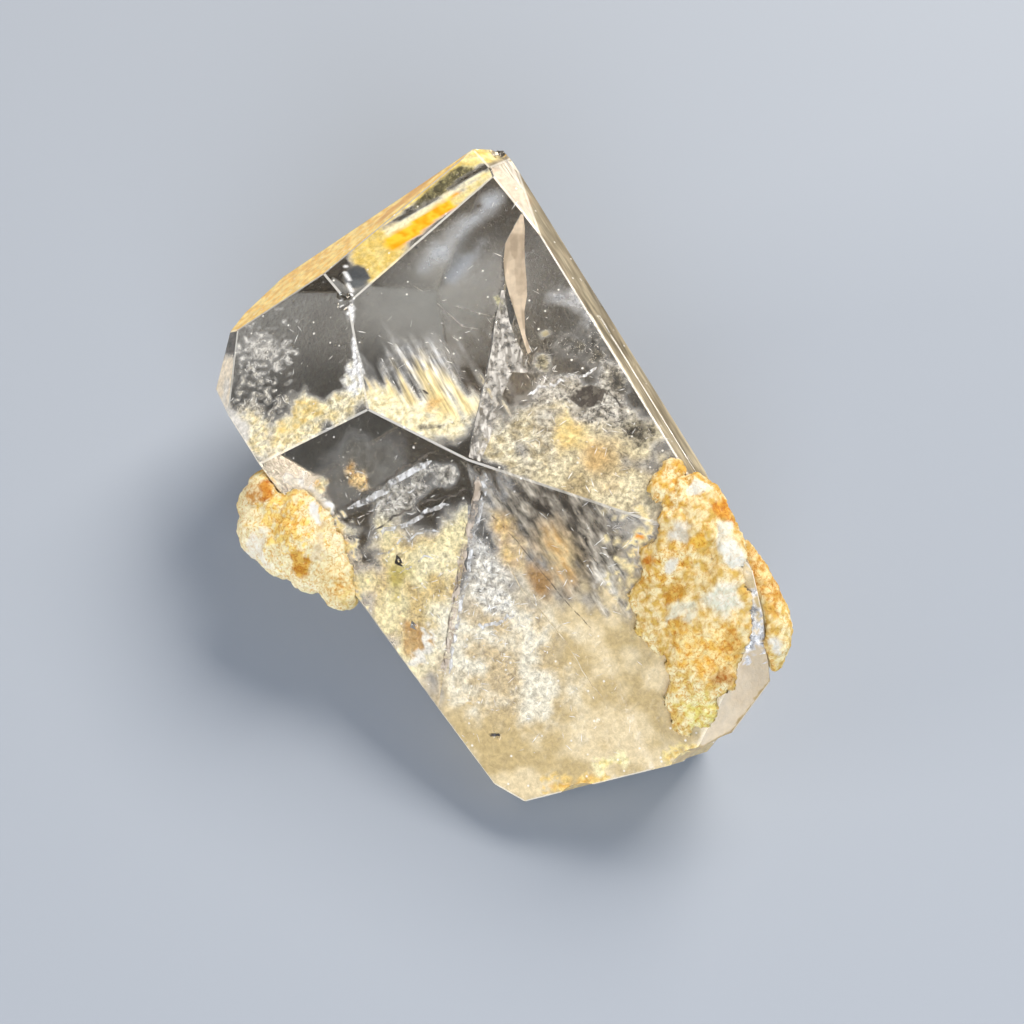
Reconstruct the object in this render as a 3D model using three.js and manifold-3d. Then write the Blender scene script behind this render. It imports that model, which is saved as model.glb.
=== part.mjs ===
// Topaz crystal with remnants of its limonite matrix: a half-terminated prism that lies on its side.
// Millimetres, +Z up, +Y from the broken base towards the termination.
import * as THREE from 'three';
import { ConvexGeometry } from 'three/addons/geometries/ConvexGeometry.js';
import { mergeVertices } from 'three/addons/utils/BufferGeometryUtils.js';
import Module from 'manifold-3d';

const wasm = await Module();
wasm.setup();

// ---- driving dimensions -------------------------------------------------------------------------

const seatGap = 0.3; // clearance between the matrix and the crystal under it
const grooveDepth = 0.14; // growth striations on the prism faces
const grooveWidth = 0.5;
const bumpHeight = 0.16; // small bumps all over the matrix, and their spacing
const bumpSpacing = 1.3;

// Each face: the compass direction it looks to (0 = +X, 90 = +Y), its tilt from straight up, in
// degrees, and its distance from the growth centre on the rest plane.
const faces = {
  // prism zone, along the length
  topFace: [215, 15, 19.8],
  upperFlank: [213.5, 41.6, 17.6],
  frontFlank: [219, 40.2, 17.8],
  lowerFlank: [218.3, 41, 17.75],
  rightStrip: [347, 30.5, 24.3],
  stripTip: [346, 18, 25.1],
  leftSide: [184.7, 112.7, 10.8],
  rightSide: [4.5, 108, 4.3],
  rightBaseSide: [354, 97, 10.6],
  lowerLeft: [177, 140, 6.2],
  // termination
  leftDome: [184.5, 31.5, 21],
  goldBevel: [179, 14.6, 22.3],
  farDome: [118, 44, 28.7],
  leftBevel: [164, 54, 25.7],
  tipCorner: [15, 15.7, 27.85],
  farEnd: [77, 98, 19.5],
  farLeftEnd: [114, 96, 24.3],
  leftEnd: [134.6, 93.6, 24.5],
  lowerFarEnd: [98, 134, 10],
  // broken base
  brokenBase: [260, 114.5, 22.1],
  baseFacet: [252, 48, 26.25],
  baseCorner: [301, 105, 24.2],
  baseLeft: [211.5, 115, 17.8],
  lowerBase: [262, 150, 11.2],
  restFace: [0, 180, 0],
};

// Direction of the striations: along the prism, dipping slightly towards the base.
const prismAxis = new THREE.Vector3(0.03, -0.99, -0.146).normalize();

// Shell-shaped breaks: centre and radius of the ball that each one is scooped with.
const baseScoops = [
  [[-6.7, -28.6, 4.5], 3.1],
  [[1.7, -31.2, 8.9], 2.8],
  [[-0.5, -35.2, 0.8], 8.2],
  [[5.4, -34.2, 5.6], 7],
  [[-8.8, -31.4, 0.6], 6],
];
const chips = [
  [[-7.4, 14.7, 22], 1.3],
  [[-2.6, 25.1, 18.7], 1.05],
  [[2.9, 24.8, 21.2], 0.95],
  [[10.4, 20.9, 25.3], 1],
  [[11.6, -6.5, 23.2], 1.3],
];

// Natural etch pits on the flanks: x, y, width, depth.
const etchPits = [
  [-9.9, -19.6, 0.6, 0.3],
  [-10.7, -16.3, 0.8, 0.16],
  [-11.4, -5, 0.9, 0.16],
  [-2.7, -23.2, 0.7, 0.14],
  [-7, -14.3, 0.9, 0.16],
  [-12.3, -9.4, 0.6, 0.14],
];

// Striations on the strip: x at the start, start y and length.
const stripGrooves = [
  [10.6, 17.5, 24],
  [11.1, 15, 30],
  [11.5, 11, 26],
  [10.3, 3, 18],
  [11.8, 4, 20],
];

// The fracture that crosses the top face gapes this wide at the surface and closes inside. Along it:
// x and y on the face, then the way from there to its closed edge.
const fractureGape = 0.25;
const fractureLine = [
  [8.83, 14.07, 0.3, -0.1, -0.3],
  [7.63, 13.17, 1.1, -0.1, -0.5],
  [6.43, 12.27, 1.8, -0.3, -0.9],
  [5.63, 11.07, 1.8, -0.3, -1.2],
  [5.13, 9.57, 1.7, -0.4, -1.1],
  [4.3, 8.4, 1.4, -0.5, -1.1],
  [2.83, 6.67, 1.5, -0.6, -1.3],
  [1.93, 5.37, 2, -0.6, -1.4],
  [0.83, 3.87, 2.4, -0.9, -1.5],
  [-0.27, 2.37, 1.3, -0.7, -1.1],
  [-1.67, 0.67, 1.1, -0.5, -0.9],
  [-3.17, -1.23, 0.9, -0.4, -0.7],
  [-3.9, -2.2, 0.6, -0.3, -0.5],
];

// The knob grows from one centre; each nodule on it has a centre and a radius.
const knobCentre = [-16.8, 1.8, 10.8];
const knobNodules = [
  // draped over the crystal's edge
  [[-16.7, 1.4, 10.7], 2.9],
  [[-16.1, 3.2, 11.6], 2.4],
  [[-15.5, 1.5, 11.2], 2.4],
  [[-15.4, -0.4, 10.6], 2.2],
  [[-15.7, -2.3, 9.9], 1.9],
  [[-16.1, -3.7, 9.3], 1.5],
  [[-17.5, 4.3, 10.9], 2.4],
  [[-18, 6.4, 11.4], 1.9],
  // hanging beside it
  [[-18.7, 6.2, 10], 2.2],
  [[-19, 4.2, 9.6], 2.7],
  [[-18.5, 2, 9.5], 2.5],
  [[-17.3, -0.4, 9.2], 2.1],
  [[-18, 4.3, 8.2], 2.3],
  [[-17.2, 1.4, 7.9], 2.2],
];

// The sliver on the right edge follows this line, as thick as its widths.
const edgeLine = [
  [11.9, -18.6, 18.5],
  [11.65, -20.3, 17.6],
  [11.4, -22, 16.9],
  [11.2, -23.6, 16.2],
  [10.9, -25.2, 15.4],
  [10.1, -27.2, 13.9],
];
const edgeDip = 0.3; // the line falls this much for each millimetre along it
const edgeWidths = [0.6, 0.95, 1.15, 1.35, 1.65, 1.6];

// The front crust is one sheet of nodules on the upper faces: x, y, radius.
const crustNodules = [
  [9.1, -11.8, 0.75],
  [7.8, -12.6, 0.9],
  [8.6, -13.8, 1.15],
  [10.2, -13.8, 0.95],
  [10.6, -15.1, 1.15],
  [9.1, -16, 1.3],
  [7.3, -15.7, 1.1],
  [10.8, -17, 0.95],
  [9.8, -19.5, 1.05],
  [10.5, -18.5, 0.9],
  [8.5, -17.4, 1.2],
  [5.8, -17.3, 1.3],
  [4.9, -16.3, 0.75],
  [7.2, -18.3, 1.2],
  [6.1, -19.2, 1.35],
  [4.6, -18.2, 1.15],
  [3.1, -18.1, 0.75],
  [8.2, -21.1, 1.45],
  [8.9, -22.4, 0.95],
  [5.3, -20.5, 1.15],
  [3.6, -19.8, 1.15],
  [2.7, -20.1, 0.75],
  [3.3, -21.2, 0.9],
  [5.9, -22.7, 1.65],
  [7.6, -23.7, 1.35],
  [4.7, -23.5, 1.45],
  [6.7, -24.8, 1.15],
  [4.7, -25.2, 1.35],
  [6.2, -26.3, 0.8],
  [3, -25.4, 1.05],
  [2.7, -26.7, 0.9],
  [4.1, -27.3, 0.8],
];
const crustSheet = { x: [0.5, 13], y: [-30, -9.5], cell: 0.5, thickest: 2 };
const crustSpread = 1.4; // width of a nodule's foot over its radius
const crustHeight = 0.85; // its height over its radius
const crustRim = 0.12; // the sheet ends where it gets thinner than this

// ---- shaping tools ------------------------------------------------------------------------------

function direction(azimuth, tilt) {
  const turn = THREE.MathUtils.degToRad(azimuth);
  const lean = THREE.MathUtils.degToRad(tilt);
  return new THREE.Vector3(
    Math.cos(turn) * Math.sin(lean),
    Math.sin(turn) * Math.sin(lean),
    Math.cos(lean),
  );
}

function toSolid(geometry) {
  const bare = geometry.clone();
  bare.deleteAttribute('normal');
  bare.deleteAttribute('uv');
  const merged = mergeVertices(bare, 1e-5);
  return new wasm.Manifold(new wasm.Mesh({
    numProp: 3,
    vertProperties: Float32Array.from(merged.attributes.position.array),
    triVerts: Uint32Array.from(merged.index.array),
  }));
}

function toGeometry(solid) {
  const mesh = solid.getMesh();
  const geometry = new THREE.BufferGeometry();
  geometry.setAttribute('position', new THREE.BufferAttribute(Float32Array.from(mesh.vertProperties), 3));
  geometry.setIndex(new THREE.BufferAttribute(Uint32Array.from(mesh.triVerts), 1));
  const flat = geometry.toNonIndexed();
  flat.computeVertexNormals();
  return flat;
}

function ball([x, y, z], radius, detail) {
  return toSolid(new THREE.IcosahedronGeometry(radius, detail).translate(x, y, z));
}

// ---- crystal ------------------------------------------------------------------------------------

// Corners of the space under all the faces, each upper face moved outwards by `growth` and each
// face that overhangs by `sideGrowth`.
function crystalCorners(growth, sideGrowth) {
  const planes = Object.values(faces).map(([azimuth, tilt, distance]) => ({
    normal: direction(azimuth, tilt),
    reach: distance + (tilt < 90 ? growth : sideGrowth),
  }));
  const corners = [];
  const isInside = (point) => planes.every((face) => face.normal.dot(point) <= face.reach + 1e-6);
  for (let i = 0; i < planes.length; i += 1) {
    for (let j = i + 1; j < planes.length; j += 1) {
      for (let k = j + 1; k < planes.length; k += 1) {
        const corner = meetingPoint(planes[i], planes[j], planes[k]);
        if (corner && isInside(corner)) corners.push(corner);
      }
    }
  }
  return corners;
}

function meetingPoint(first, second, third) {
  const crossed = new THREE.Vector3().crossVectors(second.normal, third.normal);
  const share = first.normal.dot(crossed);
  if (Math.abs(share) < 1e-7) return null;
  return crossed.multiplyScalar(first.reach)
    .addScaledVector(new THREE.Vector3().crossVectors(third.normal, first.normal), second.reach)
    .addScaledVector(new THREE.Vector3().crossVectors(first.normal, second.normal), third.reach)
    .divideScalar(share);
}

function facetedCrystal(growth = 0, sideGrowth = growth) {
  return toSolid(new ConvexGeometry(crystalCorners(growth, sideGrowth)));
}

// Height of the crystal's upper surface at x, y.
function surfaceHeight(x, y) {
  let height = Infinity;
  for (const [azimuth, tilt, distance] of Object.values(faces)) {
    const normal = direction(azimuth, tilt);
    if (normal.z > 0.05) height = Math.min(height, (distance - normal.x * x - normal.y * y) / normal.z);
  }
  return height;
}

function etchPit([x, y, width, depth]) {
  const top = depth;
  const cone = new THREE.ConeGeometry(width, depth + top, 4);
  cone.rotateX(-Math.PI / 2);
  const flank = direction(...faces.lowerFlank);
  const stand = new THREE.Quaternion().setFromUnitVectors(new THREE.Vector3(0, 0, 1), flank);
  cone.applyQuaternion(stand);
  const centre = flank.clone().multiplyScalar((top - depth) / 2);
  return toSolid(cone.translate(x + centre.x, y + centre.y, surfaceHeight(x, y) + centre.z));
}

// A three-sided groove that starts at `start` and follows the prism axis.
function groove(start, length) {
  const bar = new THREE.CylinderGeometry(grooveWidth / 2, grooveWidth / 2, length, 3);
  const lie = new THREE.Quaternion().setFromUnitVectors(new THREE.Vector3(0, 1, 0), prismAxis);
  bar.applyQuaternion(lie);
  const middle = start.clone().addScaledVector(prismAxis, length / 2);
  return toSolid(bar.translate(middle.x, middle.y, middle.z));
}

function stripGroove([x, y, length]) {
  const face = direction(...faces.rightStrip);
  const start = new THREE.Vector3(x, y, surfaceHeight(x, y));
  return groove(start.addScaledVector(face, grooveWidth / 2 - grooveDepth), length);
}

// A wedge between two places on the fracture line.
function fractureWedge(ends) {
  const corners = ends.flatMap(([x, y, ...way]) => {
    const mouth = new THREE.Vector3(x, y, surfaceHeight(x, y));
    const into = new THREE.Vector3(...way);
    const closed = mouth.clone().add(into);
    const far = mouth.clone().addScaledVector(new THREE.Vector3(into.x, into.y, 0).normalize(), fractureGape);
    far.z = surfaceHeight(far.x, far.y);
    return [closed, mouth, far].map((corner) => corner.lerp(closed, -0.3));
  });
  return toSolid(new ConvexGeometry(corners));
}

function topazCrystal() {
  let solid = facetedCrystal();
  for (const [centre, radius] of baseScoops) solid = solid.subtract(ball(centre, radius, 9));
  for (const [centre, radius] of chips) solid = solid.subtract(ball(centre, radius, 3));
  for (const pit of etchPits) solid = solid.subtract(etchPit(pit));
  for (const line of stripGrooves) solid = solid.subtract(stripGroove(line));
  for (let i = 1; i < fractureLine.length; i += 1) {
    solid = solid.subtract(fractureWedge(fractureLine.slice(i - 1, i + 1)));
  }
  return toGeometry(solid);
}

// ---- matrix -------------------------------------------------------------------------------------

// Small bumps: three crossed waves whose directions share no rhythm.
function bump(x, y, z) {
  const pitch = (2 * Math.PI) / bumpSpacing;
  const first = Math.sin(pitch * (0.8 * x + 0.53 * y + 0.29 * z));
  const second = Math.sin(pitch * (0.47 * y - 0.71 * x + 0.62 * z) * 1.31 + first);
  const third = Math.sin(pitch * (0.83 * z - 0.36 * y + 0.19 * x) * 0.77 + second);
  return (bumpHeight / 3) * (first + second + third);
}

function moveVertices(geometry, place) {
  const position = geometry.attributes.position;
  const point = new THREE.Vector3();
  for (let i = 0; i < position.count; i += 1) {
    place(point.fromBufferAttribute(position, i));
    position.setXYZ(i, point.x, point.y, point.z);
  }
  return geometry;
}

// Cuts a lump's seat, so that it fits the crystal's faces with the gap between them.
function seated(lump) {
  return toGeometry(lump.subtract(facetedCrystal(seatGap)));
}

// In each direction from the centre, the skin is where the farthest nodule ends.
function matrixKnob() {
  const centre = new THREE.Vector3(...knobCentre);
  const nodules = knobNodules.map(([place, radius]) => ({
    offset: new THREE.Vector3(...place).sub(centre),
    radius,
  }));
  const skin = moveVertices(new THREE.IcosahedronGeometry(1, 10), (point) => {
    const ray = point.clone().normalize();
    let reach = 0.8;
    for (const { offset, radius } of nodules) {
      const along = ray.dot(offset);
      const inside = along * along - offset.lengthSq() + radius * radius;
      if (inside > 0) reach = Math.max(reach, along + Math.sqrt(inside));
    }
    point.copy(centre).addScaledVector(ray, reach);
    point.addScaledVector(ray, bump(point.x, point.y, point.z));
  });
  return seated(toSolid(skin));
}

// A ball drawn out along a curved line.
function edgeCrust() {
  const line = new THREE.CatmullRomCurve3(edgeLine.map((place) => new THREE.Vector3(...place)));
  const widths = new THREE.SplineCurve(edgeWidths.map((width, i) => new THREE.Vector2(i, width)));
  const skin = moveVertices(new THREE.SphereGeometry(1, 14, 26), (point) => {
    const along = (1 - point.y) / 2;
    const width = widths.getPoint(along).y;
    const ray = new THREE.Vector3(point.x, -point.z * edgeDip, point.z);
    line.getPoint(along, point);
    point.addScaledVector(ray, width + bump(point.x + ray.x, point.y + ray.y, point.z + ray.z));
  });
  return seated(toSolid(skin));
}

// Thickness of the crust above its seat, negative where there is none.
function crustRelief(x, y) {
  let relief = -1;
  for (const [centreX, centreY, radius] of crustNodules) {
    const distance = Math.hypot(x - centreX, y - centreY) / (radius * crustSpread);
    relief = Math.max(relief, radius * crustHeight * (1 - distance * distance));
  }
  return relief + bump(x, y, 0) - crustRim;
}

// A sheet over the upper faces. Where it dips under the crystal's surface, the seat cuts it away.
function frontCrust() {
  const { x: [left, right], y: [front, back], cell, thickest } = crustSheet;
  const columns = Math.round((right - left) / cell);
  const rows = Math.round((back - front) / cell);
  const sheet = new THREE.BoxGeometry(right - left, back - front, 1, columns, rows, 1);
  sheet.translate((left + right) / 2, (front + back) / 2, 0);
  moveVertices(sheet, (point) => {
    const height = surfaceHeight(point.x, point.y) + seatGap;
    point.z = point.z > 0 ? height + crustRelief(point.x, point.y) : height - thickest;
  });
  return seated(toSolid(sheet).intersect(facetedCrystal(thickest, 0)));
}

// ---- specimen -----------------------------------------------------------------------------------

function topazMaterial() {
  return new THREE.MeshStandardMaterial({ color: 0xe9dcc4, roughness: 0.12, metalness: 0 });
}

function limoniteMaterial() {
  return new THREE.MeshStandardMaterial({ color: 0xd8ab55, roughness: 0.9, metalness: 0 });
}

function piece(name, geometry, material) {
  const mesh = new THREE.Mesh(geometry, material);
  mesh.name = name;
  return mesh;
}

const specimen = new THREE.Group();
specimen.add(
  piece('topaz_crystal', topazCrystal(), topazMaterial()),
  piece('matrix_knob', matrixKnob(), limoniteMaterial()),
  piece('matrix_crust', frontCrust(), limoniteMaterial()),
  piece('edge_crust', edgeCrust(), limoniteMaterial()),
);

// The origin is the middle of the footprint, on the rest plane.
const reach = new THREE.Box3().setFromObject(specimen);
specimen.position.set(-(reach.min.x + reach.max.x) / 2, -(reach.min.y + reach.max.y) / 2, -reach.min.z);

export default specimen;
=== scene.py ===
import math
import random

import bpy
from mathutils import Euler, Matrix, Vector, noise


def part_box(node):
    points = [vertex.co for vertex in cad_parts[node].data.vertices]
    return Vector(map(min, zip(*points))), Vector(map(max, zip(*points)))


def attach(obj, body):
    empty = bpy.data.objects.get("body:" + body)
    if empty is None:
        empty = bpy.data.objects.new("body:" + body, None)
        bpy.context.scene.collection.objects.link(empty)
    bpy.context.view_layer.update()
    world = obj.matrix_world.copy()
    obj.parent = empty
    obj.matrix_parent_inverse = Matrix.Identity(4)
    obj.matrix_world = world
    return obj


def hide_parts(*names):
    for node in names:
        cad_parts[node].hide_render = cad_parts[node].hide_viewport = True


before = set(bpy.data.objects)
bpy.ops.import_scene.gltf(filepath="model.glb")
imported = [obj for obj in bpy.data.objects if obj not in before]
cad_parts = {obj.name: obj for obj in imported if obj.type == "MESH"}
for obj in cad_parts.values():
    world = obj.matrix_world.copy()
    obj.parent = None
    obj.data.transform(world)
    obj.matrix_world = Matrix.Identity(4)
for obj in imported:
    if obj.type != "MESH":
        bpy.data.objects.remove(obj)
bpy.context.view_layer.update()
random.seed(41)
mm = 0.001
print("frame loaded:", ", ".join(sorted(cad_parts)))


def hexColour(code, alpha=1.0):  # sRGB hex to the linear colour that sockets take
    parts = [int(code[i:i + 2], 16) / 255 for i in (1, 3, 5)]
    return [p / 12.92 if p <= 0.04045 else ((p + 0.055) / 1.055) ** 2.4 for p in parts] + [alpha]


def addNode(tree, kind, settings=None, links=None):  # one shader node with its settings and what feeds it
    node = tree.nodes.new("ShaderNode" + kind)
    for name, value in (settings or {}).items():
        if isinstance(name, str) and hasattr(node, name):
            setattr(node, name, value)
        else:
            node.inputs[name].default_value = value
    for name, source in (links or {}).items():
        tree.links.new(source.outputs[0] if isinstance(source, bpy.types.Node) else source, node.inputs[name])
    return node


def newMaterial(name):
    made = bpy.data.materials.new(name)
    made.use_nodes = True
    made.node_tree.nodes.clear()
    return made, made.node_tree


def enter(mode):
    bpy.ops.object.mode_set(mode=mode)


def selectOnly(piece):
    bpy.ops.object.select_all(action="DESELECT")
    piece.select_set(True)
    bpy.context.view_layer.objects.active = piece


def mergedCopy(nodeName, name):  # the CAD node's shape as one closed mesh
    selectOnly(bpy.data.objects[nodeName])
    bpy.ops.object.duplicate()
    piece = bpy.context.object
    piece.name = name
    enter("EDIT")
    bpy.ops.mesh.select_all(action="SELECT")
    bpy.ops.mesh.remove_doubles(threshold=0.001 * mm)
    enter("OBJECT")
    return piece


def applyModifier(piece, kind, settings):
    selectOnly(piece)
    modifier = piece.modifiers.new(kind.lower(), kind)
    for name, value in settings.items():
        setattr(modifier, name, value)
    bpy.ops.object.modifier_apply(modifier=modifier.name)


def seat(piece, material, node=None):  # rides the root body, and may take a node's place
    piece.data.materials.clear()
    piece.data.materials.append(material)
    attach(piece, "root")
    if node:
        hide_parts(node)


# The prism's length runs along -Y and dips by this lean, so grain is laid out along it.
prismLean = (math.radians(8.4), 0.0, math.radians(1.7))
leanBack = Euler(prismLean).to_matrix().inverted()


def clamp(value):
    return max(0.0, min(1.0, value))


grainSize = {  # repeats per mm of the three grains that break up colours
    "clouds": 0.4, "grit": 1.9, "across": 1.6, "along": 0.16,
    "contrast": 0.75, "octaves": 3,
    "veinFrom": 0.3, "veinSpan": 0.4,  # the part of a grain's range in which the second colour takes over
}


def grainsAt(point):  # each grain, 0 to 1, for a place in mm
    across, along = grainSize["across"], grainSize["along"]
    drawn = leanBack @ point
    places = {"clouds": point * grainSize["clouds"], "grit": point * grainSize["grit"],
              "streaks": Vector((drawn.x * across, drawn.y * along, drawn.z * across))}
    return {name: clamp(0.5 + grainSize["contrast"] * noise.fractal(place, 1.0, 2.0, grainSize["octaves"]))
            for name, place in places.items()}


# Each patch fades over its soft share and is broken by its grain; its vein mixes its two colours. It covers
# what is under it, with streaky or round mottle and so much fleck, on all faces or on those named.
usualPatch = {"turn": 1.7, "ragged": 0.4, "soft": 0.3, "grain": "clouds", "vein": "grit", "cover": 1, "streaky": 0.0,
              "fleck": 0.5}


def blot(at, reach, colour, second=None, **rest):  # a patch round one place, in mm
    return {**usualPatch, "at": at, "reach": reach, "colour": colour, "second": second or colour, **rest}


def band(along, width, colour, second=None, **rest):  # a patch along a line, in mm
    return {**usualPatch, "along": along, "width": width, "colour": colour, "second": second or colour, **rest}


def readyPatch(patch):  # works out once what every place on the surface is measured against
    ready = dict(patch)
    if "on" in patch:
        ready["facets"] = [faceNames.index(name) for name in patch["on"].split()]
    if "along" in patch:
        ready["run"] = [Vector(p) for p in patch["along"]]
        ready["middle"] = sum(ready["run"], Vector()) / len(ready["run"])
        span = max((p - ready["middle"]).length for p in ready["run"]) + patch["width"] * 3  # its most ragged
    else:
        ready["middle"] = Vector(patch["at"])
        ready["turned"] = Euler((prismLean[0], 0, math.radians(patch["turn"]))).to_matrix().inverted()
        span = max(patch["reach"]) * (1 + 2 * patch["ragged"])
    ready["far"] = span * span
    for name in ("colour", "second"):
        ready[name] = Vector(hexColour(patch[name])[:3])
    return ready


def patchShare(point, grains, patch):  # 1 inside a patch, 0 outside, with an edge that its grain breaks up
    reach = point - patch["middle"]
    if reach.length_squared > patch["far"]:
        return 0.0
    if "run" in patch:
        away = math.inf
        for start, end in zip(patch["run"], patch["run"][1:]):
            step = end - start
            along = clamp((point - start).dot(step) / step.length_squared)
            away = min(away, (point - start - step * along).length)
        away /= patch["width"]
    else:
        reach = patch["turned"] @ reach
        away = math.sqrt(sum((p / r) ** 2 for p, r in zip(reach, patch["reach"])))
    ragged = patch["ragged"]
    share = clamp((1 - 2 * ragged + 4 * ragged * grains[patch["grain"]] - away) / patch["soft"])
    return share * share * (3 - 2 * share)


def paintPatches(piece, patches, bare):  # lays the patches over a piece as attributes of its mesh
    mesh = piece.data
    patches = [readyPatch(patch) for patch in patches]
    facets = mesh.attributes.get("facet")
    grains = [grainsAt(vertex.co / mm) for vertex in mesh.vertices]
    bare = Vector(hexColour(bare)[:3])
    done, stain, habit = {}, [], []
    for face in mesh.polygons:
        facet = facets.data[face.index].value if facets else 0
        for corner in face.vertices:
            if (corner, facet) not in done:
                point = mesh.vertices[corner].co / mm
                colour, cover, streaky, fleck = bare, 0.0, 0.0, 0.0
                for patch in patches:
                    if "facets" in patch and facet not in patch["facets"]:
                        continue
                    share = patchShare(point, grains[corner], patch)
                    if share <= 0:
                        continue
                    vein = grains[corner][patch["vein"]]
                    blend = clamp((vein - grainSize["veinFrom"]) / grainSize["veinSpan"])
                    colour = colour.lerp(patch["colour"].lerp(patch["second"], blend), share)
                    cover += (patch["cover"] - cover) * share
                    streaky += (patch["streaky"] - streaky) * share
                    fleck += (patch["fleck"] - fleck) * share
                done[corner, facet] = ((*colour, cover), (streaky, fleck, 0.0))
            stain.extend(done[corner, facet][0])
            habit.extend(done[corner, facet][1])
    mesh.attributes.new("stain", "FLOAT_COLOR", "CORNER").data.foreach_set("color", stain)
    mesh.attributes.new("habit", "FLOAT_VECTOR", "CORNER").data.foreach_set("vector", habit)


def placeInMm(tree):  # where a shading point is on its piece
    place = addNode(tree, "TexCoord")
    return addNode(tree, "VectorMath", {"operation": "SCALE", "Scale": 1000}, {0: place.outputs["Object"]})


# the clear crystal
crystalLook = {
    "name": "topaz_body",
    "bevelWidth": 0.1,  # mm, the light line on each edge: partly wear, partly a painted highlight
    "bevelAngle": 8,  # degrees between faces that get that line
    "shortestEdge": 1.6,  # mm
    "slimness": 6,  # how many times longer than wide a whitened edge is
    "fractureMargin": 3.0,  # mm round the open fracture without whitened edges
    "flatAngle": 0.6,  # degrees, faces that meet flatter than this are one
    "sameWay": 0.97,  # cosine within which a face counts as one of those named below
    "smallFace": 1.5,  # mm2, the sides of a pit are smaller
    "pitDepth": 0.6,  # mm
    "tiniestEdge": 0.1,  # mm, shorter ones are closed up so that the whitened edges meet cleanly
    "ior": 1.62,
    "clear": "#fcfaf5",
    "absorption": "#d6d0c6",
    "density": 45.0,
    "grid": 0.56,  # mm between the cuts that the etching and the colours are laid on
    "gridStart": 0.37,  # how much smaller the first cell is, as a share
    "smoothAngle": 24,  # degrees
    "breakUp": 2.6,  # how far its grain swings a thin stain's cover
    "wearAndHighlight": 0.5, "wornAndLitColour": "#fbf6ea",  # how much of a whitened edge's light is white, from wear and a painted edge highlight
    "crumple": 0.1,  # mm, the finest relief where it is milky
    "etchDepth": 0.1,  # mm
}
crystalFaces = {  # the compass direction that each looks to (0 = +X), and its tilt from straight up
    "top": (215, 15), "upperFlank": (213.5, 41.6), "frontFlank": (219, 40.2), "strip": (347, 30.5),
    "stripTip": (346, 18), "dome": (184.5, 31.5), "gold": (179, 14.6), "farDome": (118, 44),
    "leftBevel": (164, 54), "tipCorner": (15, 15.7), "baseFacet": (252, 48), "sides": (0, 90),
}
faceNames = list(crystalFaces)
openFracture = [(13.4, 16.4, 24.5), (10.2, 13.4, 23.3), (8.9, 10.7, 22.6), (5.4, 6.2, 21.2), (0.7, 0.1, 19.2)]


def nearFracture(point):  # the mouth of the fracture stays sharp
    for start, end in zip(openFracture, openFracture[1:]):
        start, step = Vector(start), Vector(end) - Vector(start)
        along = clamp((point - start).dot(step) / step.length_squared)
        if (point - start - step * along).length < crystalLook["fractureMargin"]:
            return True
    return False


def facetOf(normal):  # the number of the crystal face that looks this way
    best, closest = faceNames.index("sides"), crystalLook["sameWay"]
    for number, (compass, tilt) in enumerate(crystalFaces.values()):
        c, t = math.radians(compass), math.radians(tilt)
        match = normal.dot((math.sin(t) * math.cos(c), math.sin(t) * math.sin(c), math.cos(t)))
        if match > closest:
            best, closest = number, match
    return best


crystal = mergedCopy("topaz_crystal", crystalLook["name"])
enter("EDIT")
bpy.ops.mesh.select_all(action="SELECT")
bpy.ops.mesh.dissolve_limited(angle_limit=math.radians(crystalLook["flatAngle"]))
bpy.ops.mesh.select_all(action="SELECT")
bpy.ops.mesh.remove_doubles(threshold=crystalLook["tiniestEdge"] * mm)
bpy.ops.mesh.dissolve_limited(angle_limit=math.radians(crystalLook["flatAngle"]))
bpy.ops.mesh.select_mode(type="EDGE")
bpy.ops.mesh.select_all(action="DESELECT")
bpy.ops.mesh.edges_select_sharp(sharpness=math.radians(crystalLook["bevelAngle"]))
enter("OBJECT")
for edge in crystal.data.edges:
    a, b = (crystal.data.vertices[v].co for v in edge.vertices)
    if (a - b).length < crystalLook["shortestEdge"] * mm or nearFracture((a + b) / 2 / mm):
        edge.select = False
enter("EDIT")
bpy.ops.mesh.bevel(offset=crystalLook["bevelWidth"] * mm, segments=1, clamp_overlap=False)
bpy.ops.mesh.select_mode(type="FACE")
enter("OBJECT")
# edges whitened by wear and by a painted highlight
wornAndLit = crystal.data.attributes.new("edge_wear_and_highlight", "FLOAT", "FACE")
facet = crystal.data.attributes.new("facet", "INT", "FACE")
wide = [(facetOf(face.normal), face.center.copy(), face.normal.copy()) for face in crystal.data.polygons
        if face.area > crystalLook["smallFace"] * mm ** 2]
for face in crystal.data.polygons:
    corners = [crystal.data.vertices[v].co for v in face.vertices]
    longest = max((a - b).length for a, b in zip(corners, corners[1:] + corners[:1]))
    narrow = face.area / longest < 2 * crystalLook["bevelWidth"] * mm < longest / crystalLook["slimness"]
    wornAndLit.data[face.index].value = 1.0 if face.select and narrow else 0.0
    facet.data[face.index].value = facetOf(face.normal)
    if facet.data[face.index].value == faceNames.index("sides") and face.area < crystalLook["smallFace"] * mm ** 2:
        # a small pit belongs to the face it is sunk in
        host = min(wide, key=lambda flat: abs(flat[2].dot(face.center - flat[1])))
        if abs(host[2].dot(face.center - host[1])) < crystalLook["pitDepth"] * mm:
            facet.data[face.index].value = host[0]
print("crystal:", int(sum(w.value for w in wornAndLit.data)), "worn edges")

# A grid of cuts gives the flat faces something to be etched with, and leaves them flat.
lowest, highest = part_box("topaz_crystal")
enter("EDIT")
for axis in range(3):
    way = [0, 0, 0]
    way[axis] = 1
    for step in range(1, int((highest[axis] - lowest[axis]) / (crystalLook["grid"] * mm)) + 1):
        cut = lowest[axis] + (step - crystalLook["gridStart"]) * crystalLook["grid"] * mm
        bpy.ops.mesh.select_all(action="SELECT")
        bpy.ops.mesh.bisect(plane_co=[w * cut for w in way], plane_no=way)
enter("OBJECT")
applyModifier(crystal, "SUBSURF", {"subdivision_type": "SIMPLE", "levels": 1, "render_levels": 1})

prismAxis = Vector((0.03, -0.99, -0.146)).normalized()


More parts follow.
